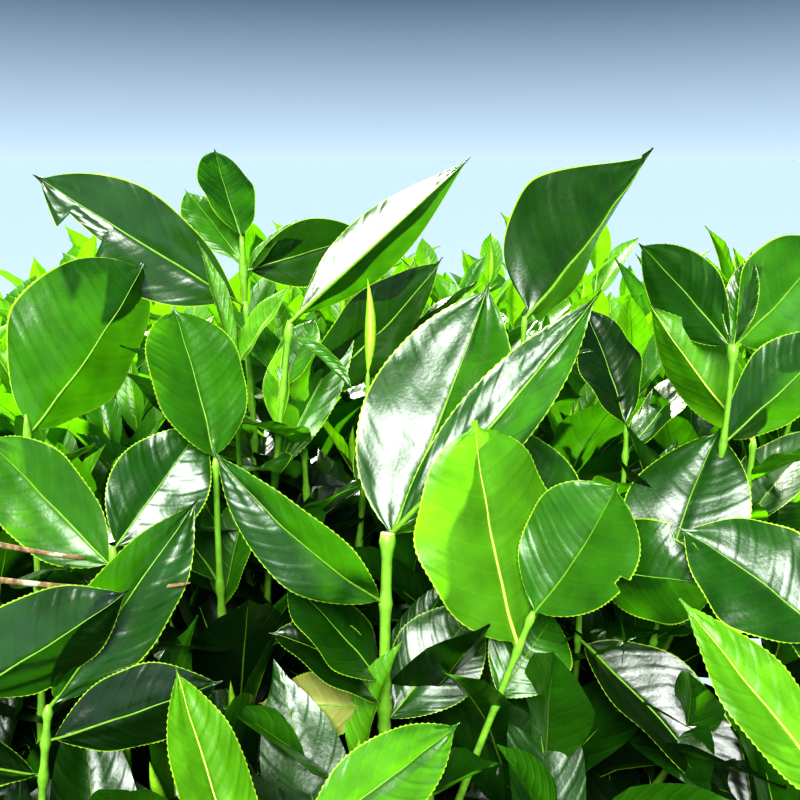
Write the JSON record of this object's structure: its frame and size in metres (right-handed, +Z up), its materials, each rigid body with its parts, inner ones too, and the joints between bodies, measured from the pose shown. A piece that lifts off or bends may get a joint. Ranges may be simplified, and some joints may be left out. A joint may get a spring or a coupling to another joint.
{
  "type": "tea bush",
  "caption": "Low spreading evergreen bush kept as a flat plucking table, with a short flared bole, a frame of crooked boughs and large glossy pointed leaves on upright young shoots.",
  "frame": {"origin": "middle of the flat cut under the bole, at ground level", "axes": "+Z up, -Y towards the viewer, +X to the viewer's right"},
  "size_m": [1.0737, 1.07, 0.8904],
  "materials": {
    "bark": "rough grey-brown bark",
    "bough_bark": "dull brown bark",
    "foliage": "waxy green leaves"
  },
  "bodies": {
    "root": {"bole": "bark", "bough_front": "bough_bark", "bough_left": "bough_bark", "bough_right": "bough_bark", "bough_back_left": "bough_bark", "bough_back_right": "bough_bark", "bough_inner_back": "bough_bark", "bough_front_left": "bough_bark", "bough_front_right": "bough_bark", "bough_inner_left": "bough_bark", "bough_inner_right": "bough_bark", "bough_back": "bough_bark", "foliage_front": "foliage", "foliage_front_left": "foliage", "foliage_front_right": "foliage", "foliage_left": "foliage", "foliage_right": "foliage", "foliage_inner_left": "foliage", "foliage_inner_right": "foliage", "foliage_inner_back": "foliage", "foliage_back_left": "foliage", "foliage_back_right": "foliage", "foliage_back": "foliage"}
  },
  "joints": []
}
